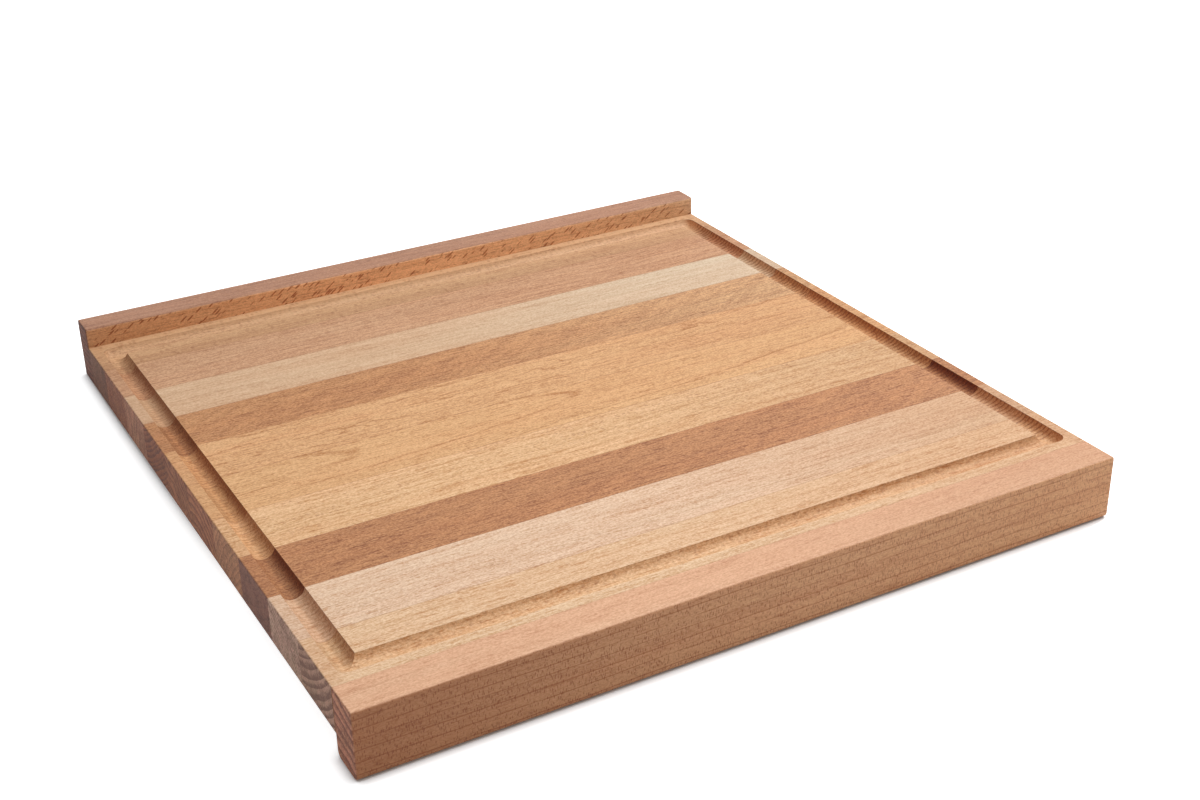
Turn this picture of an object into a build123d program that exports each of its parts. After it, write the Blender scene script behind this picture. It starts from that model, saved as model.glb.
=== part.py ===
from build123d import *
import math
import os

# A wooden pastry board that hooks over the front edge of a worktop.
# Ten staves are glued edge to edge into a panel. A strip along its front edge hangs below the
# underside as a lip, and a strip along its back edge stands above the top as a rail.
# +X runs to the right along the staves, +Y from the lip to the rail, and +Z up.
# The origin is on the underside, where it meets the lip's back face, halfway along the lip.

# Driving dimensions of the panel, in millimetres
board_width = 350.0
panel_thickness = 20.0
stave_width = 32.0

# How much wider than that each stave is, from the lip to the rail
width_differences = [0.5, 0.5, 1.0, 1.0, 1.0, 1.0, -0.5, -0.5, 0.0, -2.0]

# The lip: its thickness, how far it hangs below the underside, and its rounded lower edges
lip_thickness = 17.5
lip_drop = 9.5
lip_rear_round = 3.0
lip_front_round = 2.0

# The rail: its thickness, how far it stands above the top, and its rounded upper edges
rail_thickness = 15.0
rail_rise = 10.0
rail_front_round = 1.5
rail_rear_round = 1.2

# The juice groove: a round-nosed cutter runs once round the panel, its centre in from the edges
cutter_radius = 5.0
groove_depth = 4.0
groove_inset = 10.2

# Sanded edges: the other long edges of lip and rail, and the edges round the sawn ends
long_edge_round = 1.0
end_edge_round = 0.7

# Sizes that follow from those above
stave_widths = [stave_width + difference for difference in width_differences]
panel_depth = sum(stave_widths)
half_width = board_width / 2
rail_top = panel_thickness + rail_rise
groove_floor = panel_thickness - groove_depth
cutter_centre = groove_floor + cutter_radius
groove_width = 2 * math.sqrt(cutter_radius**2 - (cutter_centre - panel_thickness) ** 2)

# Two places closer than this count as one when edges are picked
same_place = 0.01


def same(a, b):
    """Whether two lengths are one and the same but for rounding."""
    return abs(a - b) < same_place


def strip(outline):
    """A piece as long as the board is wide, from the (y, z) corners of its end."""
    corners = [(-half_width, y, z) for y, z in outline]
    return Solid.extrude(Face(Wire.make_polygon(corners)), Vector(board_width, 0, 0))


def long_edge(piece, y, z):
    """The edge of a strip that runs along X at one corner of its end."""
    return piece.edges().filter_by(Axis.X).filter_by(
        lambda edge: same(edge.center().Y, y) and same(edge.center().Z, z)
    )


def end_edges(piece, is_free):
    """The edges round both sawn ends, where is_free(y, z) says that nothing is glued on."""
    ends = piece.faces().sort_by(Axis.X)
    rims = ends[0].edges() + ends[-1].edges()
    return rims.filter_by(lambda edge: is_free(edge.center().Y, edge.center().Z))


def groove_cutters():
    """What the cutter sweeps out: a round bar along each side and a ball at each corner."""
    side_x = half_width - groove_inset
    front_y = groove_inset
    back_y = panel_depth - groove_inset
    along_x = Cylinder(cutter_radius, 2 * side_x, rotation=(0, 90, 0))
    along_y = Cylinder(cutter_radius, back_y - front_y, rotation=(90, 0, 0))
    ball = Sphere(cutter_radius)
    swept = [along_x.moved(Location((0, y, cutter_centre))) for y in (front_y, back_y)]
    for x in (-side_x, side_x):
        swept.append(along_y.moved(Location((x, (front_y + back_y) / 2, cutter_centre))))
        swept += [ball.moved(Location((x, y, cutter_centre))) for y in (front_y, back_y)]
    return swept


def panel_stave(front_y, width, cutters):
    """One stave, with its sawn ends eased above and below, and its share of the groove."""
    back_y = front_y + width
    stave = strip(
        [(front_y, 0), (back_y, 0), (back_y, panel_thickness), (front_y, panel_thickness)]
    )
    open_ends = end_edges(stave, lambda y, z: same(z, 0) or same(z, panel_thickness))
    stave = fillet(open_ends, end_edge_round)
    for cutter in cutters:
        stave = stave - cutter
    return stave


def front_lip():
    """The strip along the front. The corner at the underside parts the glued face from the free one."""
    lip = strip(
        [
            (-lip_thickness, -lip_drop),
            (0, -lip_drop),
            (0, 0),
            (0, panel_thickness),
            (-lip_thickness, panel_thickness),
        ]
    )
    lip = fillet(long_edge(lip, -lip_thickness, panel_thickness), long_edge_round)
    lip = fillet(long_edge(lip, -lip_thickness, -lip_drop), lip_front_round)
    lip = fillet(long_edge(lip, 0, -lip_drop), lip_rear_round)
    return fillet(end_edges(lip, lambda y, z: y < -same_place), end_edge_round)


def back_rail():
    """The strip along the back, as tall as the panel and the rise together."""
    back_y = panel_depth + rail_thickness
    rail = strip(
        [
            (panel_depth, 0),
            (back_y, 0),
            (back_y, rail_top),
            (panel_depth, rail_top),
            (panel_depth, panel_thickness),
        ]
    )
    rail = fillet(long_edge(rail, panel_depth, rail_top), rail_front_round)
    rail = fillet(long_edge(rail, back_y, rail_top), rail_rear_round)
    rail = fillet(long_edge(rail, back_y, 0), long_edge_round)
    return fillet(end_edges(rail, lambda y, z: y > panel_depth + same_place), end_edge_round)


pieces = {"front_lip": front_lip(), "back_rail": back_rail()}
cutters = groove_cutters()
front_y = 0.0
for number, width in enumerate(stave_widths, start=1):
    pieces[f"stave_{number:02d}"] = panel_stave(front_y, width, cutters)
    front_y += width

os.makedirs("parts", exist_ok=True)
for name, piece in pieces.items():
    piece.label = name
    export_step(piece, f"parts/{name}.step")
    size = piece.bounding_box().size
    print(f"{name}: {size.X:.2f} x {size.Y:.2f} x {size.Z:.2f} mm")
print(f"panel {panel_depth:.1f} mm deep, groove {groove_width:.2f} mm wide")
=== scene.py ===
# %% [markdown]
# # A beech pastry board that hooks over the edge of a worktop
#
# The real board is ten staves of beech glued edge to edge, with a strip along the front that hangs
# below it as a lip and a strip along the back that stands above it as a rail. A juice groove runs
# round the top. Nothing on it is painted or varnished, so all of its looks come from the timber:
# growth rings, fibres, ray flecks, sawn ends, and what the cutter and the sander left behind.
#
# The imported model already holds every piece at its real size, and it is loaded first. This lesson
# only gives each piece its timber, then adds a floor, lamps and a camera.

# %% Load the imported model
import math

import bpy
from mathutils import Matrix, Vector


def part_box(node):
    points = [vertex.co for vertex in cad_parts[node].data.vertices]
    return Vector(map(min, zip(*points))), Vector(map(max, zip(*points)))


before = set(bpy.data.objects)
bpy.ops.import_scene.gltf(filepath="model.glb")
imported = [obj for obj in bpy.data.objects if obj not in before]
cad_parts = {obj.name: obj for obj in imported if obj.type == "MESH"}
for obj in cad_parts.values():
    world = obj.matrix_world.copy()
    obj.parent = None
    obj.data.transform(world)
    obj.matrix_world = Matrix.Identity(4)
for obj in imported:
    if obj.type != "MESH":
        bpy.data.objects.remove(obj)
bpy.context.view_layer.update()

mm = 0.001
print("pieces:", sorted(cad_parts))

# %% [markdown]
# ## The camera
#
# The photograph was taken from the front left, a little above the board. The straight edges of the
# board in it fix where the lens stood, how it was turned and how long it was, so the camera is
# placed from those few numbers. A camera in Blender looks along its own -Z, so it is first stood
# upright, then tilted and turned.

# %% The camera, from the photograph's perspective
photo_width = 1200
focal_length_in_pixels = 1746.3
lens_place = Vector((-331.7, -481.0, 384.3)) * mm
turned_right = math.radians(28.93)
tilted_down = math.radians(27.06)
rolled = math.radians(-1.03)

camera_data = bpy.data.cameras.new("photo_camera")
camera_data.sensor_width = 36.0
camera_data.lens = camera_data.sensor_width * focal_length_in_pixels / photo_width
camera_data.clip_start = 10 * mm
camera = bpy.data.objects.new("photo_camera", camera_data)
bpy.context.scene.collection.objects.link(camera)
turn = Matrix.Rotation(-turned_right, 4, "Z")
tilt = Matrix.Rotation(math.radians(90) - tilted_down, 4, "X")
roll = Matrix.Rotation(rolled, 4, "Z")
camera.matrix_world = Matrix.Translation(lens_place) @ turn @ tilt @ roll
bpy.context.scene.camera = camera
print(f"lens {camera_data.lens:.1f} mm, {lens_place.length / mm:.0f} mm from the origin")

# %% [markdown]
# ## Small helpers for shader nodes
#
# A material in Blender is a graph of nodes. It could be drawn by hand in the shader editor, but
# written out one by one the nodes hide what they work out. These helpers let a graph read like a
# formula. Each one adds a node, feeds it numbers or the outputs of other nodes, and hands back its
# output.

# %% Helpers that add nodes
def add_node(tree, kind, **settings):
    """A new shader node of a kind, with its settings."""
    node = tree.nodes.new("ShaderNode" + kind)
    for name, value in settings.items():
        setattr(node, name, value)
    return node


def feed(tree, socket, value):
    """Gives a socket a plain value, or links another node's output to it."""
    if isinstance(value, bpy.types.NodeSocket):
        tree.links.new(value, socket)
    else:
        socket.default_value = value


def calc(tree, operation, *values):
    """A sum of numbers, such as ADD or MAXIMUM."""
    node = add_node(tree, "Math", operation=operation)
    for socket, value in zip(node.inputs, values):
        feed(tree, socket, value)
    return node.outputs[0]


def vector_calc(tree, operation, *values, gives="Vector"):
    """The same for vectors. LENGTH and DOT_PRODUCT give a Value."""
    node = add_node(tree, "VectorMath", operation=operation)
    for socket, value in zip(node.inputs, values):
        feed(tree, socket, value)
    return node.outputs[gives]


print("nodes can be added and fed")

# %% Helpers for numbers and vectors
def product(tree, first, *others):
    """Numbers multiplied together."""
    for value in others:
        first = calc(tree, "MULTIPLY", first, value)
    return first


def blend(tree, share, start, end):
    """A number that goes from start to end as the share goes from 0 to 1."""
    change = calc(tree, "SUBTRACT", end, start)
    return calc(tree, "MULTIPLY_ADD", share, change, start)


def ease(tree, value, start, end):
    """0 before start, 1 past end and a smooth change between. Start may be the larger."""
    node = add_node(tree, "MapRange", interpolation_type="SMOOTHSTEP")
    for name, number in (("Value", value), ("From Min", start), ("From Max", end)):
        feed(tree, node.inputs[name], number)
    return node.outputs[0]


def split(tree, vector):
    """The three parts of a vector."""
    node = add_node(tree, "SeparateXYZ")
    feed(tree, node.inputs[0], vector)
    return node.outputs


def join(tree, x, y, z):
    """A vector from three numbers."""
    node = add_node(tree, "CombineXYZ")
    for socket, value in zip(node.inputs, (x, y, z)):
        feed(tree, socket, value)
    return node.outputs[0]


def noise(tree, point, size, detail=2.0, roughness=0.5):
    """A cloudy value about 0.5 whose lumps are as long, wide and tall as size says, in mm."""
    node = add_node(tree, "TexNoise")
    feed(tree, node.inputs["Vector"], vector_calc(tree, "DIVIDE", point, size))
    for name, number in (("Scale", 1.0), ("Detail", detail), ("Roughness", roughness)):
        feed(tree, node.inputs[name], number)
    return node.outputs[0]


print("numbers can be blended, eased and roughened")

# %% Helpers for colours
def mix(tree, share, first, second):
    """One colour laid over another by a share."""
    node = add_node(tree, "Mix", data_type="RGBA")
    for number, value in ((0, share), (6, first), (7, second)):
        feed(tree, node.inputs[number], value)
    return node.outputs[2]


def tinted(tree, colour, tint):
    """A colour multiplied by shares of red, green and blue."""
    return vector_calc(tree, "MULTIPLY", colour, tint)


def stain(tree, share, colour, tint):
    """A colour that takes on a tint by a share."""
    return mix(tree, share, colour, tinted(tree, colour, tint))


def paint(code):
    """The linear colour of a web colour code."""
    parts = [int(code[i : i + 2], 16) / 255 for i in (1, 3, 5)]
    linear = [p / 12.92 if p <= 0.04045 else ((p + 0.055) / 1.055) ** 2.4 for p in parts]
    return (*linear, 1.0)


print("white is", paint("#FFFFFF"))

# %% [markdown]
# What several materials share is put in a node group. A group is built once, has named sockets, and
# is placed in each material with its own values, so a change to it reaches all of them. Copying the
# nodes into each material would work too, but then no two copies stay alike for long.

# %% Helpers for node groups
def socket_kind(start):
    """Float for a number, Vector for three numbers and Color for four."""
    return "Float" if isinstance(start, float) else {3: "Vector", 4: "Color"}[len(start)]


def new_group(name, inputs, outputs):
    """A node group. Inputs map a name to its start value, outputs a name to its kind."""
    tree = bpy.data.node_groups.new(name, "ShaderNodeTree")
    for title, start in inputs.items():
        kind = "NodeSocket" + socket_kind(start)
        tree.interface.new_socket(title, in_out="INPUT", socket_type=kind).default_value = start
    for title, kind in outputs.items():
        tree.interface.new_socket(title, in_out="OUTPUT", socket_type="NodeSocket" + kind)
    given = tree.nodes.new("NodeGroupInput").outputs
    result = tree.nodes.new("NodeGroupOutput").inputs
    return tree, given, result


def use_group(tree, group, **values):
    """Places a node group. A value named ring_width feeds the socket Ring Width."""
    node = add_node(tree, "Group", node_tree=group)
    for name, value in values.items():
        feed(tree, node.inputs[name.replace("_", " ").title()], value)
    return node.outputs


print("groups can be made and placed")

# %% [markdown]
# ## Growth rings
#
# A tree lays down one ring a year, pale in spring and darker in late summer. A stave is cut from
# the trunk along its length, so the rings are long tubes about the trunk's middle, the pith, that
# run along the stave. If the rings are worked out in space, from how far a point is from the pith,
# they show as long lines on the top and as arcs on the sawn end, and the two meet at the edge by
# themselves. That is why no flat picture of wood is used here.
#
# The pith isn't quite parallel to a stave, so it leans. A lean is what turns straight lines into
# the pointed arch that shows on one stave.

# %% Node group: growth rings
ring_seed_step = 37.0
wave_section = 16.0
short_wave_share = 0.2
uneven_ring_share = 1.4


def make_growth_rings():
    """Distance from a leaning pith, cut into years. All lengths are in mm."""
    tree, given, result = new_group(
        "growth_rings",
        {
            "Point": (0, 0, 0),
            "Pith": (0, 0, -80),
            "Lean": (0, 0, 0),
            "Ring Width": 3.0,
            "Dark Share": 0.4,
            "Waviness": 3.0,
            "Wave Length": 110.0,
            "Seed": 0.0,
        },
        {
            "Late Wood": "Float",
            "Season": "Float",
            "Year": "Float",
            "Radius": "Float",
            "Angle": "Float",
        },
    )
    x = split(tree, given["Point"])[0]
    drift = vector_calc(tree, "MULTIPLY", join(tree, x, x, x), given["Lean"])
    pith = vector_calc(tree, "ADD", drift, given["Pith"])
    away = vector_calc(tree, "SUBTRACT", given["Point"], pith)
    flat = vector_calc(tree, "MULTIPLY", away, (0, 1, 1))
    radius = vector_calc(tree, "LENGTH", flat, gives="Value")
    across = split(tree, flat)
    feed(tree, result["Angle"], calc(tree, "ARCTAN2", across[2], across[1]))

    shift = product(tree, given["Seed"], ring_seed_step)
    elsewhere = vector_calc(tree, "ADD", given["Point"], join(tree, shift, shift, shift))
    stretched = join(tree, given["Wave Length"], wave_section, wave_section)
    long_waves = calc(tree, "SUBTRACT", noise(tree, elsewhere, stretched), 0.5)
    short_waves = calc(tree, "SUBTRACT", noise(tree, elsewhere, (14, 7, 7)), 0.5)
    waves = calc(tree, "MULTIPLY_ADD", short_waves, short_wave_share, long_waves)
    warped = calc(tree, "MULTIPLY_ADD", waves, given["Waviness"], radius)
    feed(tree, result["Radius"], warped)
    swell = noise(tree, join(tree, radius, shift, 0.0), (8, 1, 1), 1.0)
    uneven = product(tree, swell, product(tree, given["Ring Width"], uneven_ring_share))
    years = calc(tree, "DIVIDE", calc(tree, "ADD", warped, uneven), given["Ring Width"])

    season = calc(tree, "FRACT", years)
    summer = calc(tree, "SUBTRACT", 1.0, given["Dark Share"])
    late = product(tree, ease(tree, season, summer, 0.94), ease(tree, season, 1.0, 0.96))
    broken = ease(tree, noise(tree, elsewhere, (26, 4, 4)), 0.3, 0.6)
    feed(tree, result["Late Wood"], product(tree, late, broken))
    ramp = product(tree, ease(tree, season, 0.15, 0.92), ease(tree, season, 1.0, 0.94))
    feed(tree, result["Season"], ramp)
    number = add_node(tree, "TexWhiteNoise", noise_dimensions="1D")
    feed(tree, number.inputs["W"], calc(tree, "ADD", calc(tree, "FLOOR", years), shift))
    feed(tree, result["Year"], number.outputs["Value"])
    return tree


growth_rings = make_growth_rings()
print("growth_rings:", len(growth_rings.nodes), "nodes")

# %% [markdown]
# ## Fibres, lines and streaks
#
# Between the rings the timber is full of fibres that run along the stave. From a step away they
# are soft streaks of a slightly different tone with thin lines among them. Close by they are rows
# of short dark dashes, which are open pores, on a fine nap. All are noises stretched along X. On a
# sawn end the same noises are cut across, and turn into fine dots without further work.
#
# A thin line is made by asking where a stretched noise crosses its middle value. That traces its
# contours, which run along the stave, drift apart and close up again as real grain does.

# %% Node group: fibres, lines and streaks
fibre_seed_step = 53.0
bend_reach = 5.0
half_line = 0.075


def make_wood_fibre():
    """Tones stretched along X. Slant is how far they climb towards +Y for each mm along X."""
    tree, given, result = new_group(
        "wood_fibre",
        {"Point": (0, 0, 0), "Slant": 0.0, "Curl Angle": 0.6, "Seed": 0.0},
        {
            "Warmth": "Float",
            "Streak": "Float",
            "Line": "Float",
            "Dash": "Float",
            "Nap": "Float",
            "Curl": "Float",
        },
    )
    x, y, z = split(tree, given["Point"])
    shift = product(tree, given["Seed"], fibre_seed_step)
    bend = calc(tree, "SUBTRACT", noise(tree, given["Point"], (60, 25, 25)), 0.5)
    bent = calc(tree, "MULTIPLY_ADD", bend, bend_reach, y)
    straight = calc(tree, "SUBTRACT", bent, product(tree, x, given["Slant"]))
    point = join(tree, calc(tree, "ADD", x, shift), calc(tree, "ADD", straight, shift), z)

    warmth = noise(tree, point, (210, 14, 14))
    feed(tree, result["Warmth"], ease(tree, warmth, 0.35, 0.65))
    streak = noise(tree, point, (80, 2.8, 2.8), 3.0, 0.6)
    feed(tree, result["Streak"], ease(tree, streak, 0.32, 0.68))
    contour = calc(tree, "SUBTRACT", noise(tree, point, (46, 2.2, 2.2), 1.0), 0.5)
    line = ease(tree, calc(tree, "ABSOLUTE", contour), half_line, 0.01)
    faint = ease(tree, noise(tree, point, (17, 1.5, 1.5), 1.0), 0.35, 0.6)
    feed(tree, result["Line"], product(tree, line, faint))
    rows = ease(tree, noise(tree, point, (34, 0.9, 0.9), 1.0), 0.38, 0.6)
    dash = ease(tree, noise(tree, point, (3.6, 0.45, 0.45), 1.0), 0.44, 0.66)
    feed(tree, result["Dash"], product(tree, dash, rows))
    nap = noise(tree, point, (1.1, 0.65, 0.65), 2.0, 0.7)
    feed(tree, result["Nap"], ease(tree, nap, 0.32, 0.68))
    turned = add_node(tree, "VectorRotate", rotation_type="Z_AXIS")
    feed(tree, turned.inputs["Vector"], point)
    feed(tree, turned.inputs["Angle"], given["Curl Angle"])
    curl = noise(tree, turned.outputs[0], (34, 4, 14))
    feed(tree, result["Curl"], ease(tree, curl, 0.35, 0.65))
    return tree


wood_fibre = make_wood_fibre()
print("wood_fibre:", len(wood_fibre.nodes), "nodes")

# %% [markdown]
# ## Ray flecks
#
# Beech is known by its rays. They are thin sheets that run from the pith outwards, so they show as
# short dark dashes where the face follows the rings, as ticks across the grain where the face
# points at the pith, and as fine lines between the rings on a sawn end. One pattern does all three,
# if its three axes are the distance along the stave, the way round the pith and the distance from
# the pith. A noise would run its flecks together. So the pattern is a field of cells with one
# spindle in the middle of each, and a lot decides which cells keep theirs. The rail's wood grew at
# a slant, and its flecks lean with it.

# %% Node group: ray flecks
def make_ray_flecks():
    """Dark flecks. Length is along the stave, Thickness round the pith, Height away from it."""
    tree, given, result = new_group(
        "ray_flecks",
        {
            "Point": (0, 0, 0),
            "Radius": 80.0,
            "Angle": 0.0,
            "Length": 2.8,
            "Thickness": 0.6,
            "Height": 7.0,
            "Slant": 0.0,
            "Amount": 0.5,
            "Girth": 90.0,
            "Seed": 0.0,
        },
        {"Fleck": "Float"},
    )
    x, y, z = split(tree, given["Point"])
    upright = calc(tree, "SUBTRACT", x, product(tree, z, given["Slant"]))
    around = product(tree, given["Angle"], given["Girth"])
    place = join(
        tree,
        calc(tree, "ADD", calc(tree, "DIVIDE", upright, given["Length"]), given["Seed"]),
        calc(tree, "DIVIDE", around, given["Thickness"]),
        calc(tree, "DIVIDE", given["Radius"], given["Height"]),
    )
    cells = add_node(tree, "TexVoronoi", feature="F1")
    feed(tree, cells.inputs["Vector"], place)
    feed(tree, cells.inputs["Scale"], 1.0)
    spindle = ease(tree, cells.outputs["Distance"], 0.42, 0.22)
    clusters = product(tree, noise(tree, given["Point"], (22, 8, 5), 1.0), 2.0)
    wanted = product(tree, given["Amount"], clusters)
    lot = split(tree, cells.outputs["Color"])[0]
    kept = calc(tree, "LESS_THAN", lot, wanted)
    feed(tree, result["Fleck"], product(tree, spindle, kept))
    return tree


ray_flecks = make_ray_flecks()
print("ray_flecks:", len(ray_flecks.nodes), "nodes")

# %% [markdown]
# ## Sawn ends
#
# Where a face cuts across the fibres, it looks into open tubes. It drinks in light and oil, so it
# is darker and duller, and the rings stand out more. How far a face is turned towards the end
# grain is the X part of its normal, without its sign. Picking the end faces by hand would do as
# well on a plain box, but this also eases the change over the rounded edge.

# %% Node group: sawn end
def make_sawn_end():
    """1 where the surface cuts straight across the fibres, 0 where it runs along them."""
    tree, given, result = new_group("sawn_end", {"Normal": (0, 0, 1)}, {"End Grain": "Float"})
    facing = calc(tree, "ABSOLUTE", split(tree, given["Normal"])[0])
    feed(tree, result["End Grain"], ease(tree, facing, 0.15, 0.95))
    return tree


sawn_end = make_sawn_end()
print("sawn_end:", len(sawn_end.nodes), "nodes")

# %% [markdown]
# ## The groove's tool marks
#
# The groove was milled in one pass with a round-nosed cutter. Each turn of the cutter leaves a
# small arc across the groove. The arcs are faint along the front and back, where the cutter ran
# with the fibres, and plain down the right run, where it chattered across them. Where it worked
# against the fibres it also bruised them, which leaves brown mottles. The arcs could be cut into
# the solid, but they are no deeper than a hair is thick, so a ripple in colour and relief shows
# them as well.
#
# The groove is found by its place: it is whatever surface lies below the top and no further from
# the groove's centre line than the cutter's radius.

# %% The groove's centre line
panel_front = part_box("stave_01")[0].y / mm
panel_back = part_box("stave_10")[1].y / mm
panel_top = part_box("stave_01")[1].z / mm
groove_inset = 10.2
groove_depth = 4.0
cutter_radius = 5.0
groove_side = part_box("stave_01")[1].x / mm - groove_inset
groove_middle = (panel_front + panel_back) / 2
groove_reach = (panel_back - panel_front) / 2 - groove_inset
print(f"groove centre line: x ±{groove_side:.1f}, y {groove_middle:.1f} ±{groove_reach:.1f} mm")

# %% Node group: tool marks of the groove
arc_bow = 0.09
wander_reach = 4.0
ripple_everywhere = 0.12
ripple_at_sides = 0.2
ripple_at_right = 0.5
bruise_at_sides = 0.6


def make_tool_marks():
    """Where the groove is, the ripple that the cutter left in it, and the bruised patches."""
    tree, given, result = new_group(
        "tool_marks",
        {"Point": (0, 0, 0), "Feed": 2.5},
        {"Groove": "Float", "Ripple": "Float", "Bruise": "Float"},
    )
    x, y, z = split(tree, given["Point"])
    from_middle = calc(tree, "ABSOLUTE", calc(tree, "SUBTRACT", y, groove_middle))
    off_side = calc(tree, "SUBTRACT", calc(tree, "ABSOLUTE", x), groove_side)
    off_run = calc(tree, "SUBTRACT", from_middle, groove_reach)
    beside = calc(tree, "COMPARE", off_side, 0.0, cutter_radius)
    before = calc(tree, "COMPARE", off_run, 0.0, cutter_radius)
    furthest = calc(tree, "MAXIMUM", off_side, off_run)
    inside = calc(tree, "SUBTRACT", 1.0, calc(tree, "GREATER_THAN", furthest, cutter_radius))
    low_enough = ease(tree, z, panel_top - 0.02, panel_top - 0.3)
    high_enough = calc(tree, "GREATER_THAN", z, panel_top - groove_depth - 0.1)
    on_track = calc(tree, "MAXIMUM", beside, before)
    groove = product(tree, low_enough, high_enough, on_track, inside)
    feed(tree, result["Groove"], groove)

    travel = blend(tree, beside, x, y)
    off = blend(tree, beside, off_run, off_side)
    bow = product(tree, off, off, arc_bow)
    wander = product(tree, noise(tree, given["Point"], (16, 16, 16), 1.0), wander_reach)
    along = calc(tree, "ADD", calc(tree, "ADD", travel, bow), wander)
    turns = calc(tree, "DIVIDE", along, given["Feed"])
    wave = calc(tree, "SINE", product(tree, turns, 2 * math.pi))
    at_side = product(tree, beside, calc(tree, "SUBTRACT", 1.0, before))
    at_right = product(tree, at_side, calc(tree, "GREATER_THAN", x, 0.0))
    patches = ease(tree, noise(tree, given["Point"], (14, 14, 14), 1.0), 0.25, 0.5)
    in_patches = calc(tree, "MULTIPLY_ADD", at_right, ripple_at_right, ripple_everywhere)
    strength = product(tree, patches, in_patches)
    strength = calc(tree, "MULTIPLY_ADD", at_side, ripple_at_sides, strength)
    feed(tree, result["Ripple"], product(tree, wave, strength, groove))

    mottle = ease(tree, noise(tree, given["Point"], (1.8, 1.1, 1.4), 3.0, 0.6), 0.45, 0.7)
    inner_wall = ease(tree, off, -1.0, -4.5)
    where = calc(tree, "MAXIMUM", inner_wall, product(tree, beside, bruise_at_sides))
    feed(tree, result["Bruise"], product(tree, mottle, where, groove))
    return tree


tool_marks = make_tool_marks()
print("tool_marks:", len(tool_marks.nodes), "nodes")

# %% [markdown]
# ## Eased edges
#
# The sander rounded every free edge a little, and hands and cloths polish it further, so an edge
# is smoother than the faces beside it. Blender's Pointiness output finds edges by their curve, but
# it is worked out at the vertices, and these plain solids have few. Each piece is close to a box,
# so the edges can be found by measure: on the surface the nearest side of the box is no distance
# away, and close to an edge the second nearest isn't either.

# %% Node group: eased edges
def make_eased_edges():
    """1 on an edge of the box from Low to High, and 0 further than Reach from it, in mm."""
    tree, given, result = new_group(
        "eased_edges",
        {"Point": (0, 0, 0), "Low": (-10, -10, -10), "High": (10, 10, 10), "Reach": 1.2},
        {"Edge": "Float"},
    )
    above_low = vector_calc(tree, "SUBTRACT", given["Point"], given["Low"])
    below_high = vector_calc(tree, "SUBTRACT", given["High"], given["Point"])
    x, y, z = split(tree, vector_calc(tree, "MINIMUM", above_low, below_high))
    nearer = calc(tree, "MINIMUM", x, y)
    further = calc(tree, "MAXIMUM", x, y)
    second = calc(tree, "MAXIMUM", nearer, calc(tree, "MINIMUM", further, z))
    broken = product(tree, noise(tree, given["Point"], (3, 3, 3), 3.0), given["Reach"])
    distance = calc(tree, "ADD", second, broken)
    feed(tree, result["Edge"], ease(tree, distance, product(tree, given["Reach"], 1.5), 0.3))
    return tree


eased_edges = make_eased_edges()
print("eased_edges:", len(eased_edges.nodes), "nodes")

# %% [markdown]
# ## The colour of the long faces
#
# Every piece is the same kind of wood, but no two staves come from the same tree. So the timber is
# one more group, and each piece places it with its own look: two tones, a pith, a ring width and a
# figure. Its colour is worked out in a few steps, and each is a function that adds its nodes to
# the group.
#
# A face that runs along the fibres starts between a pale and a dark tone. Rings, streaks, lines
# and dashes each push it towards the dark one by a share of their own. The tone changes towards
# the right end, from a third of the way along, because a plank is seldom the same all over. Faces
# that look forwards or back have tints of their own, partly the wood's own tone and partly painted
# light and shade: the lip's front darkens towards its left end, and the rail's faces are lightened.
# The rim outside the groove is a touch browner.

# %% Colour along the fibres
board_width = 350.0
nap_tone = 0.5
drift_start = 0.3
rim_start, rim_end = groove_side + 3, groove_side + 6
warm_tint = (1.0, 0.9, 0.86)
fleck_tint = (0.53, 0.35, 0.27)


def grain_tone(tree, look, rings, fibre, level):
    """How far the tone is from pale to dark."""
    y = split(tree, look["Point"])[1]
    ring_share = blend(tree, level, 1.0, look["Top Rings"])
    tone = calc(tree, "MULTIPLY_ADD", y, look["Back Tone"], look["Tone"])
    for value, weight in (
        (product(tree, rings["Year"], ring_share), look["Year Tone"]),
        (product(tree, rings["Late Wood"], ring_share), look["Late Tone"]),
        (fibre["Streak"], look["Streak Tone"]),
        (fibre["Line"], look["Line Tone"]),
        (fibre["Dash"], look["Dash Tone"]),
        (fibre["Nap"], nap_tone),
        (fibre["Curl"], look["Curl Tone"]),
    ):
        tone = calc(tree, "MULTIPLY_ADD", value, weight, tone)
    return tone


def side_tone_and_light(tree, look, from_left, towards_back):
    """The tint of the faces that look forwards, from left to right, or back: partly the wood's own
    tone, partly painted light and shade.
    """
    front = mix(tree, from_left, look["Side Tone And Light Left"], look["Side Tone And Light Right"])
    halfway = product(tree, from_left, calc(tree, "SUBTRACT", 1.0, from_left))
    swell = calc(tree, "MULTIPLY_ADD", halfway, look["Side Light Swell"], 1.0)
    front = tinted(tree, front, join(tree, swell, swell, swell))
    faces_back = calc(tree, "GREATER_THAN", towards_back, 0.0)
    return mix(tree, faces_back, front, look["Back Tone And Light Tint"])


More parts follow.
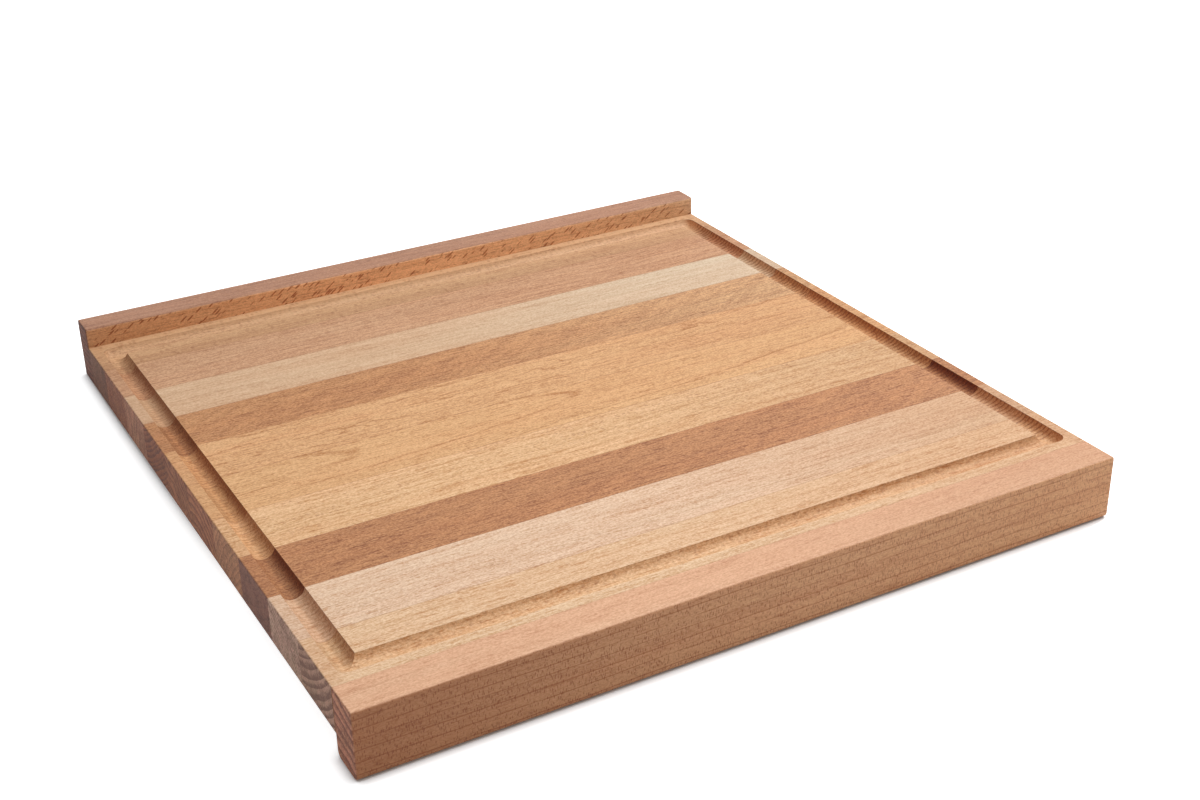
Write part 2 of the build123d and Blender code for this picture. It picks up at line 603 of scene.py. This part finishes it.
def side_grain(tree, look, rings, fibre, fleck):
    """The colour of the faces that run along the fibres."""
    x = split(tree, look["Point"])[0]
    towards_back = split(tree, look["Normal"])[1]
    from_left = calc(tree, "MULTIPLY_ADD", x, 1 / board_width, 0.5)
    sideways = ease(tree, calc(tree, "ABSOLUTE", towards_back), look["Side Start"], 0.95)
    level = calc(tree, "SUBTRACT", 1.0, sideways)

    tone = grain_tone(tree, look, rings, fibre, level)
    colour = mix(tree, tone, look["Pale"], look["Dark"])
    colour = stain(tree, product(tree, fibre["Warmth"], look["Warmth"]), colour, warm_tint)
    fleck_share = blend(tree, level, 1.0, look["Top Flecks"])
    flecked = product(tree, fleck, fleck_share, look["Fleck Tone"])
    colour = stain(tree, flecked, colour, fleck_tint)

    far_right = ease(tree, from_left, drift_start, 1.0)
    colour = stain(tree, far_right, colour, look["To Right"])
    # Faces that look forwards or back: their own tone plus painted light and shade.
    colour = stain(tree, sideways, colour, side_tone_and_light(tree, look, from_left, towards_back))
    on_rim = ease(tree, calc(tree, "ABSOLUTE", x), rim_start, rim_end)
    return stain(tree, on_rim, colour, look["Rim Tint"])


print(f"the rim's tone starts {rim_start:.1f} mm from the middle")

# %% [markdown]
# ## The colour of the sawn ends
#
# A sawn end shows the same rings and fibres from their ends, over a duller colour. The saw leaves
# blotches and grit on it, some of it looks olive where it took up moisture, and the rays show as
# fine pale lines that cross the rings.

# %% Colour across the fibres
shade_start = -0.5
end_weights = {"year": 0.25, "blotch": 0.45, "grit": 0.45, "nap": 0.4}
end_shade_tint = (0.34, 0.28, 0.26)
olive_tint = (0.98, 1.05, 0.98)
olive_share = 0.6
pale_ray_tint = (1.5, 1.45, 1.45)
pale_ray_share = 0.5


def end_grain(tree, look, rings, fibre, fleck):
    """The colour of the faces that cut across the fibres."""
    point = look["Point"]
    seen_there = {
        "year": rings["Year"],
        "blotch": ease(tree, noise(tree, point, (9, 5, 5), 3.0, 0.65), 0.32, 0.68),
        "grit": ease(tree, noise(tree, point, (3, 1.2, 1.0), 2.0, 0.6), 0.34, 0.66),
        "nap": fibre["Nap"],
    }
    shade = calc(tree, "MULTIPLY_ADD", rings["Season"], look["End Rings"], shade_start)
    for name, value in seen_there.items():
        shade = calc(tree, "MULTIPLY_ADD", value, end_weights[name], shade)
    colour = stain(tree, shade, look["End"], end_shade_tint)
    olive = ease(tree, noise(tree, point, (40, 11, 9), 1.0), 0.45, 0.65)
    colour = stain(tree, product(tree, olive, olive_share), colour, olive_tint)
    return stain(tree, product(tree, fleck, pale_ray_share), colour, pale_ray_tint)


print("what shades a sawn end:", ", ".join(end_weights))

# %% [markdown]
# ## The colour in the groove
#
# The cutter rubs as it cuts, and across the fibres it scorches them. The walls that face left,
# away from the lamps, take a stain that is partly this scorch and partly painted shade, and each
# stave took its own amount. The right run's walls that face left are redder still, partly browning
# and partly painted shade. The outer wall of the left run is a little darker than the top, which is
# painted shade in the groove, mottles and the crests of the ripple are brown, and every stave's
# groove has a tint of its own. All of these are laid over the wood one after another.

# %% Colour of the groove's wood
scorch_and_shade_tint = (0.42, 0.22, 0.12)
right_run_browning_and_shade_tint = (1.0, 0.76, 0.6)
bruise_tint = (0.62, 0.48, 0.38)
crest_tint = (0.5, 0.36, 0.28)
bruise_share = 0.6
crest_share = 0.9


def groove_wood(tree, look, marks, wood):
    """The wood's colour with the cutter's stains and painted shade in the groove."""
    x = split(tree, look["Point"])[0]
    towards_right = split(tree, look["Normal"])[0]
    right_run = calc(tree, "GREATER_THAN", x, groove_side - cutter_radius)
    left_run = calc(tree, "LESS_THAN", x, cutter_radius - groove_side)
    groove = marks["Groove"]
    wood = stain(tree, groove, wood, look["Groove Tint"])

    # Walls that face left, away from the lamps: partly scorch, partly painted shade.
    left_walls_in_shade = product(tree, ease(tree, towards_right, -0.15, -0.95), groove)
    scorch = blend(tree, right_run, look["Scorch"], look["Scorch Right"])
    wood = stain(tree, product(tree, scorch, left_walls_in_shade), wood, scorch_and_shade_tint)
    wood = stain(tree, product(tree, left_walls_in_shade, right_run), wood, right_run_browning_and_shade_tint)
    # The left run's outer wall is painted darker: painted shade in the groove.
    outer_wall_shade = product(tree, ease(tree, towards_right, 0.1, 0.5), left_run, groove)
    wall_shade_tint = join(tree, *[look["Outer Wall Shade"]] * 3)
    wood = stain(tree, outer_wall_shade, wood, wall_shade_tint)

    wood = stain(tree, product(tree, marks["Bruise"], bruise_share), wood, bruise_tint)
    crest = calc(tree, "MAXIMUM", marks["Ripple"], 0.0)
    return stain(tree, product(tree, crest, crest_share), wood, crest_tint)


print(f"the side runs start {groove_side - cutter_radius:.1f} mm from the middle")

# %% [markdown]
# ## Glue lines
#
# Two staves meet in a joint that is thinner than paper, and it still shows as a fine brown line,
# because the glue darkens the fibres that it soaks into. It could be a gap in the solids, but the
# real joint is closed. So each stave is stained within a third of a millimetre of its two joints.

# %% Colour beside the joints
glue_tint = (0.6, 0.44, 0.34)
glue_reach = 0.3


def glued_wood(tree, look, wood):
    """The wood's colour with the glue's stain beside the joints."""
    y = split(tree, look["Point"])[1]
    to_front = calc(tree, "SUBTRACT", y, look["Front Joint"])
    to_back = calc(tree, "SUBTRACT", look["Back Joint"], y)
    to_joint = calc(tree, "MINIMUM", to_front, to_back)
    glue = product(tree, ease(tree, to_joint, glue_reach, 0.05), look["Glue"])
    return stain(tree, glue, wood, glue_tint)


print("glue soaks in", glue_reach, "mm")

# %% [markdown]
# ## The timber as one group
#
# Everything above comes together here. The group's inputs are what a piece can choose, and their
# start values are the most usual ones, so a piece only names what is different about it. It puts
# out a colour, a roughness and a relief. The shader itself, the Principled BSDF, stays in the
# material, where an export to another program can find it.

# %% What a piece can choose
timber_inputs = {
    "Point": (0, 0, 0),
    "Normal": (0, 0, 1),
    "Low": (-10, -10, -10),
    "High": (10, 10, 10),
    "Front Joint": -10.0,
    "Back Joint": 10.0,
    "Seed": 0.0,
}
for subject, choices in {
    "tones": {
        "Pale": (1, 1, 1, 1), "Dark": (1, 1, 1, 1), "End": (1, 1, 1, 1), "Tone": -0.08,
        "Back Tone": 0.0, "Year Tone": 0.08, "Late Tone": 0.2, "Streak Tone": 0.18,
        "Line Tone": 0.22, "Dash Tone": 0.5, "Curl Tone": 0.0, "Fleck Tone": 0.35, "Warmth": 0.4,
    },
    "figure": {
        "Pith": (0, 0, -80), "Lean": (0, 0, 0), "Slant": 0.0, "Ring Width": 3.0,
        "Dark Share": 0.4, "Waviness": 3.0, "Wave Length": 110.0, "Curl Angle": 0.6,
        "Top Rings": 1.0, "End Rings": 0.7,
    },
    "flecks": {
        "Fleck Length": 2.8, "Fleck Thickness": 0.6, "Fleck Height": 7.0, "Fleck Slant": 0.0,
        "Fleck Amount": 0.5, "Top Flecks": 1.0,
    },
    "changes over the piece": {
        "To Right": (1, 1, 1), "Rim Tint": (0.92, 0.88, 0.86), "Side Start": 0.3,
        "Side Tone And Light Left": (1, 1, 1), "Side Tone And Light Right": (1, 1, 1), "Side Light Swell": 0.0,
        "Back Tone And Light Tint": (1, 1, 1), "Glue": 0.6,
    },
    "groove": {
        "Groove Tint": (0.96, 0.88, 0.8), "Scorch": 0.6, "Scorch Right": 0.0,
        "Outer Wall Shade": 0.92,
    },
}.items():
    timber_inputs.update(choices)
    print(f"{subject}: {len(choices)} choices")

# %% Place the shared groups
def place_shared_groups(tree, look):
    """The groups that the timber is made of, fed from a piece's look."""
    point, seed = look["Point"], look["Seed"]
    rings = use_group(
        tree, growth_rings, point=point, pith=look["Pith"], lean=look["Lean"],
        ring_width=look["Ring Width"], dark_share=look["Dark Share"],
        waviness=look["Waviness"], wave_length=look["Wave Length"], seed=seed,
    )
    fibre = use_group(
        tree, wood_fibre, point=point, slant=look["Slant"], curl_angle=look["Curl Angle"], seed=seed
    )
    fleck = use_group(
        tree, ray_flecks, point=point, radius=rings["Radius"], angle=rings["Angle"],
        length=look["Fleck Length"], thickness=look["Fleck Thickness"],
        height=look["Fleck Height"], slant=look["Fleck Slant"],
        amount=look["Fleck Amount"], seed=seed,
    )["Fleck"]
    return rings, fibre, fleck


print("placed in the timber:", growth_rings.name, wood_fibre.name, ray_flecks.name)

# %% Node group: beech timber
plain_roughness = 0.52
rougher_nap = 0.12
rougher_end = 0.2
smoother_edge = -0.12


def make_beech_timber():
    """Colour, roughness and relief of a piece, from its look. All lengths are in mm."""
    outputs = {"Colour": "Color", "Roughness": "Float", "Relief": "Float"}
    tree, look, result = new_group("beech_timber", timber_inputs, outputs)
    rings, fibre, fleck = place_shared_groups(tree, look)
    end = use_group(tree, sawn_end, normal=look["Normal"])["End Grain"]
    marks = use_group(tree, tool_marks, point=look["Point"])
    edge = use_group(
        tree, eased_edges, point=look["Point"], low=look["Low"], high=look["High"]
    )["Edge"]

    along = side_grain(tree, look, rings, fibre, fleck)
    across = end_grain(tree, look, rings, fibre, fleck)
    out_of_groove = calc(tree, "SUBTRACT", 1.0, marks["Groove"])
    wood = mix(tree, product(tree, end, out_of_groove), along, across)
    wood = groove_wood(tree, look, marks, wood)
    feed(tree, result["Colour"], glued_wood(tree, look, wood))

    rough = plain_roughness
    for value, change in ((fibre["Nap"], rougher_nap), (end, rougher_end), (edge, smoother_edge)):
        rough = calc(tree, "MULTIPLY_ADD", value, change, rough)
    feed(tree, result["Roughness"], rough)

    relief = 0.0
    for value, height in (
        (fibre["Nap"], 0.05),
        (fibre["Dash"], -0.04),
        (fibre["Line"], -0.02),
        (rings["Late Wood"], 0.02),
        (marks["Ripple"], 0.05),
        (marks["Bruise"], -0.06),
    ):
        relief = calc(tree, "MULTIPLY_ADD", value, height, relief)
    feed(tree, result["Relief"], relief)
    return tree


beech_timber = make_beech_timber()
print("beech_timber:", len(beech_timber.nodes), "nodes,", len(timber_inputs), "inputs")

# %% [markdown]
# ## The beech material
#
# Bare sanded beech has no coat. It is a dull surface with a weak shine, so a Principled BSDF with
# a high roughness and a low specular level is all that it takes. The group's relief is in
# millimetres and goes through a Bump node, which tilts the light without adding a single face.

# %% The beech material
beyond_neighbours = 100


def beech(piece, look):
    """A material for one piece, from its own look."""
    material = bpy.data.materials.new(piece + "_beech")
    material.use_nodes = True
    tree = material.node_tree
    shader = tree.nodes["Principled BSDF"]
    shader.inputs["Specular IOR Level"].default_value = 0.35
    place = add_node(tree, "TexCoord")
    point = vector_calc(tree, "MULTIPLY", place.outputs["Object"], (1 / mm, 1 / mm, 1 / mm))

    low, high = (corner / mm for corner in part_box(piece))
    joints = {"front_joint": low.y, "back_joint": high.y}
    if piece.startswith("stave"):
        low.y, high.y = low.y - beyond_neighbours, high.y + beyond_neighbours
    chosen = {key: paint(v) if isinstance(v, str) else v for key, v in look.items()}
    timber = use_group(
        tree, beech_timber, point=point, normal=place.outputs["Normal"],
        low=low, high=high, **joints, **chosen,
    )
    feed(tree, shader.inputs["Base Color"], timber["Colour"])
    feed(tree, shader.inputs["Roughness"], timber["Roughness"])

    bump = add_node(tree, "Bump")
    bump.inputs["Distance"].default_value = mm
    bump.inputs["Strength"].default_value = 1.0
    feed(tree, bump.inputs["Height"], timber["Relief"])
    feed(tree, shader.inputs["Normal"], bump.outputs["Normal"])
    return material


print("a stave's glued sides aren't edges, so its box reaches", beyond_neighbours, "mm past them")

# %% [markdown]
# ## One look for each piece
#
# The staves run from pale cream to reddish brown. What makes them differ beyond colour is where
# their pith lay. A pith straight below gives wide plain figure, a pith far to one side gives
# straight fine lines, and a leaning pith gives arches or slanting lines. Two of the browner staves
# have curl, which is fibre that weaves from side to side and shows as slanting bands. Each look
# was set by comparing its faces with the photograph's, one face at a time.

# %% The looks of the lip and the rail
looks = {
    "front_lip": dict(
        pale="#E8BC99", dark="#C08965", end="#C8896F", seed=1, pith=(0, 10, -105),
        ring_width=4.6, dark_share=0.15, waviness=4.0, top_rings=0.12, end_rings=0.95,
        year_tone=0.15, late_tone=2.0, streak_tone=0.12, line_tone=0.15, dash_tone=0.35,
        fleck_length=0.6, fleck_thickness=0.7, fleck_height=3.0, fleck_amount=0.85,
        fleck_tone=0.75, top_flecks=0.0, glue=0.0, rim_tint=(1, 1, 1),
        # The front and back face tints are partly the lip's darker tone, partly painted shade,
        # darker at the left.
        to_right=(0.82, 0.75, 0.695), side_tone_and_light_left=(0.555, 0.392, 0.272),
        side_tone_and_light_right=(1.19, 1.16, 1.0), back_tone_and_light_tint=(0.85, 0.75, 0.65),
    ),
    "back_rail": dict(
        pale="#BB8D71", dark="#8F634B", end="#804C39", seed=12, pith=(0, 329, -160),
        fleck_length=2.0, fleck_thickness=2.0, fleck_height=4.2, fleck_slant=1.2,
        fleck_amount=0.55, fleck_tone=1.3, top_flecks=0.1, glue=0.0, rim_tint=(1, 1, 1),
        # The front and back face tints are painted light that brightens these faces, with some of
        # the rail's own tone.
        side_start=0.75, side_tone_and_light_left=(1.45, 1.39, 1.06), side_tone_and_light_right=(1.54, 1.71, 1.47),
        side_light_swell=1.42, back_tone_and_light_tint=(1.35, 1.35, 1.15),
    ),
}
print("strips:", len(looks))

# %% The looks of the front five staves
# In each look, the scorch and outer wall values set painted shade in the groove; the scorch is
# partly real.
looks["stave_01"] = dict(
    pale="#EFD0AC", dark="#C59263", end="#BF9580", seed=2, pith=(0, 48, 62),
    ring_width=3.6, waviness=1.5, end_rings=0.85, to_right=(0.84, 0.77, 0.71),
    groove_tint=(1.02, 0.98, 0.9), scorch_right=0.25, outer_wall_shade=0.8,
)
looks["stave_02"] = dict(
    pale="#EFD3B7", dark="#BF8E66", end="#D0A793", seed=3, pith=(0, 100, -50),
    ring_width=2.2, end_rings=0.5, late_tone=0.1, streak_tone=0.12, dash_tone=0.35,
    to_right=(0.78, 0.68, 0.57), scorch=0.4,
)
looks["stave_03"] = dict(
    pale="#CC9364", dark="#804929", end="#885B4C", seed=4, pith=(0, 120, 95),
    ring_width=2.4, end_rings=0.2, late_tone=0.08, streak_tone=0.12, line_tone=0.1,
    curl_tone=0.12, curl_angle=-0.5,
    groove_tint=(0.93, 0.91, 0.87), scorch=1.0, scorch_right=1.0, outer_wall_shade=0.95,
)
looks["stave_04"] = dict(
    pale="#F0C99D", dark="#BE8853", end="#BD8665", seed=5, pith=(0, 60, -40),
    ring_width=2.6, end_rings=0.35, fleck_tone=0.5, to_right=(0.8, 0.78, 0.76),
    scorch_right=0.2, outer_wall_shade=0.97,
)
looks["stave_05"] = dict(
    pale="#E7B987", dark="#B17845", end="#B47657", seed=6, pith=(0, 156, -22),
    lean=(0, 0, -0.03), ring_width=4.2, dark_share=0.15, waviness=2.0, wave_length=50.0,
    late_tone=0.45, streak_tone=0.1, line_tone=0.1, to_right=(0.9, 0.88, 0.86),
    scorch=0.85, scorch_right=0.3, outer_wall_shade=0.78,
)
print("pieces with a look:", len(looks))

# %% The looks of the back five staves
# In each look, the scorch and outer wall values set painted shade in the groove; the scorch is
# partly real.
looks["stave_06"] = dict(
    pale="#E5B685", dark="#AD7342", end="#A86D50", seed=7, pith=(0, 230, -50),
    ring_width=4.0, dark_share=0.15, waviness=14.0, wave_length=42.0, late_tone=0.45,
    streak_tone=0.12, line_tone=0.15, to_right=(0.9, 0.88, 0.86), scorch=0.8, scorch_right=0.3,
)
looks["stave_07"] = dict(
    pale="#D39C6A", dark="#8A5530", end="#935A40", seed=8, pith=(0, 260, 90),
    ring_width=2.4, late_tone=0.06, streak_tone=0.1, line_tone=0.08, curl_tone=0.16,
    curl_angle=-0.6, to_right=(1.12, 1.33, 1.56), scorch=0.75, outer_wall_shade=0.75,
)
looks["stave_08"] = dict(
    pale="#DBBB99", dark="#B58A65", end="#BC8469", seed=9, pith=(0, 330, 60),
    ring_width=1.8, waviness=1.0, late_tone=0.1, dash_tone=0.35, fleck_tone=0.2,
    to_right=(1.0, 1.16, 1.32), scorch=0.75, outer_wall_shade=0.88,
)
looks["stave_09"] = dict(
    pale="#D5AA85", dark="#9E6C49", end="#A3674B", seed=10, pith=(0, 330, -40),
    slant=0.02, dark_share=0.15, late_tone=0.35, to_right=(0.96, 0.91, 0.88),
    scorch=0.7, outer_wall_shade=0.97,
)
looks["stave_10"] = dict(
    pale="#D2AA81", dark="#A97C57", end="#80533D", seed=11, pith=(0, 400, 10),
    ring_width=2.6, tone=7.84, back_tone=-0.026, to_right=(1.0, 1.0, 1.02),
    groove_tint=(1.05, 1.06, 1.08), scorch=0.3,
)
print("pieces with a look:", len(looks))

# %% Give each piece its timber
for piece, look in looks.items():
    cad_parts[piece].material_slots[0].material = beech(piece, look)
print("materials:", len(looks))

# %% [markdown]
# ## The floor
#
# In the photograph the board lies on a white surface, so it rests on two lines: the lower edge of
# the lip in front and the lower edge of the rail at the back. The lip hangs lower than the
# underside, so the floor is tilted by about a degree and a half to touch both. The board could be
# tilted instead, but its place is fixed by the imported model.

# %% The floor under the board
lip_rear_round = 3.0
lip_contact = Vector((0, -lip_rear_round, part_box("front_lip")[0].z / mm)) * mm
rail_contact = Vector((0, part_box("back_rail")[1].y / mm, 0)) * mm
slope = math.atan2(rail_contact.z - lip_contact.z, rail_contact.y - lip_contact.y)
half_floor = 4.0
corners = [(x * half_floor, y * half_floor, 0) for x, y in ((-1, -1), (1, -1), (1, 1), (-1, 1))]
floor_mesh = bpy.data.meshes.new("floor")
floor_mesh.from_pydata(corners, [], [(0, 1, 2, 3)])
floor = bpy.data.objects.new("floor", floor_mesh)
bpy.context.scene.collection.objects.link(floor)
floor.matrix_world = Matrix.Translation(lip_contact) @ Matrix.Rotation(slope, 4, "X")
print(f"floor tilted {math.degrees(slope):.2f} degrees")

# %% [markdown]
# The floor should look white without sending more light at the board, so the camera and the
# reflections see some glow added to it, and other rays don't. The board's soft shadow stays on it.
# Within a few millimetres of the board the glow fades out, which paints a thin contact shadow,
# the dark line that shows where a thing touches the ground. Ambient occlusion tells how near the
# board is. Seen from below, the floor is clear.

# %% What is seen directly
def seen_directly(tree):
    """1 for what the camera sees, plainly, mirrored or through glass, and 0 for other light."""
    path = add_node(tree, "LightPath")
    seen = calc(tree, "MAXIMUM", path.outputs["Is Camera Ray"], path.outputs["Is Glossy Ray"])
    return calc(tree, "MAXIMUM", seen, path.outputs["Is Transmission Ray"])


print("rays that are seen directly can be told from the rest")

# %% How much the floor glows
open_floor_glow = 0.8
painted_shadow_depth = -1.85
contact_falloff = 1.5
contact_reach = 6 * mm


def floor_glow_with_painted_shadow(tree):
    """The floor's glow, which fades out beside the board as a painted contact shadow."""
    openness = add_node(tree, "AmbientOcclusion", samples=8)
    openness.inputs["Distance"].default_value = contact_reach
    beside_board = calc(tree, "SUBTRACT", 1.0, openness.outputs["AO"])
    painted_contact_shadow = calc(tree, "POWER", beside_board, contact_falloff)
    # Glow lost near the board paints a thin contact shadow.
    level = calc(tree, "MULTIPLY_ADD", painted_contact_shadow, painted_shadow_depth, open_floor_glow)
    return product(tree, seen_directly(tree), calc(tree, "MAXIMUM", level, 0.0))


print(f"the glow fades within {contact_reach / mm:.0f} mm of the board")

# %% The white floor's material
floor_colour = (0.8, 0.8, 0.8, 1)
glow_colour = (0.975, 0.99, 1.0, 1)
floor_material = bpy.data.materials.new("white_floor")
floor_material.use_nodes = True
tree = floor_material.node_tree
tree.nodes.clear()
diffuse = add_node(tree, "BsdfDiffuse")
diffuse.inputs["Color"].default_value = floor_colour
glow = add_node(tree, "Emission")
glow.inputs["Color"].default_value = glow_colour
feed(tree, glow.inputs["Strength"], floor_glow_with_painted_shadow(tree))
both = add_node(tree, "AddShader")
feed(tree, both.inputs[0], diffuse.outputs[0])
feed(tree, both.inputs[1], glow.outputs[0])
clear = add_node(tree, "BsdfTransparent")
behind = add_node(tree, "MixShader")
feed(tree, behind.inputs[0], add_node(tree, "NewGeometry").outputs["Backfacing"])
feed(tree, behind.inputs[1], both.outputs[0])
feed(tree, behind.inputs[2], clear.outputs[0])
feed(tree, add_node(tree, "OutputMaterial").inputs[0], behind.outputs[0])
floor_mesh.materials.append(floor_material)
print("floor nodes:", len(tree.nodes))

# %% [markdown]
# ## The light
#
# The groove tells where the light came from. Down its left run the inner wall throws a faint crisp
# shadow as far as the middle of the groove, so a small lamp stood at the right, about forty-five
# degrees up. Past that shadow the wood darkens slowly up the inner wall, which takes a broad
# source overhead. The tops are a little brighter at the right, so the broad source hung on that
# side. A large soft box, a small lamp and a pale room that is brighter overhead do all of this.

# %% The soft box and the small lamp
def add_lamp(name, place, aim, side, watts):
    """A square area lamp in one spot, aimed at another. Places in mm, its side in metres."""
    data = bpy.data.lights.new(name, "AREA")
    data.size = side
    data.energy = watts
    lamp = bpy.data.objects.new(name, data)
    bpy.context.scene.collection.objects.link(lamp)
    place, aim = Vector(place) * mm, Vector(aim) * mm
    facing = (place - aim).to_track_quat("Z", "Y").to_matrix().to_4x4()
    lamp.matrix_world = Matrix.Translation(place) @ facing
    print(f"{name}: {(place - aim).length:.2f} m away, {watts} W")


board_middle = (0, groove_middle, panel_top)
add_lamp("soft_box", (500, 160, 900), board_middle, side=1.0, watts=6.08)
add_lamp("small_lamp", (900, 160, 960), board_middle, side=0.14, watts=5.5)

# %% [markdown]
# The room lights the board from all round at a plain grey level, and is brighter overhead. To the
# camera and in reflections it is plain white, so that the background stays white past the floor.

# %% The pale room, brighter overhead
side_level = 0.36
overhead_level = 0.56
world = bpy.data.worlds.new("pale_room")
bpy.context.scene.world = world
world.use_nodes = True
tree = world.node_tree
tree.nodes.clear()
direction = split(tree, add_node(tree, "TexCoord").outputs["Generated"])
rise = calc(tree, "MAXIMUM", direction[2], 0.0)
level = blend(tree, rise, side_level, overhead_level)
room = add_node(tree, "Background")
room.inputs["Color"].default_value = (1, 1, 1, 1)
feed(tree, room.inputs["Strength"], calc(tree, "MAXIMUM", seen_directly(tree), level))
feed(tree, add_node(tree, "OutputWorld").inputs[0], room.outputs[0])
bpy.context.scene.view_settings.view_transform = "Standard"
print("room level", side_level, "to", overhead_level)
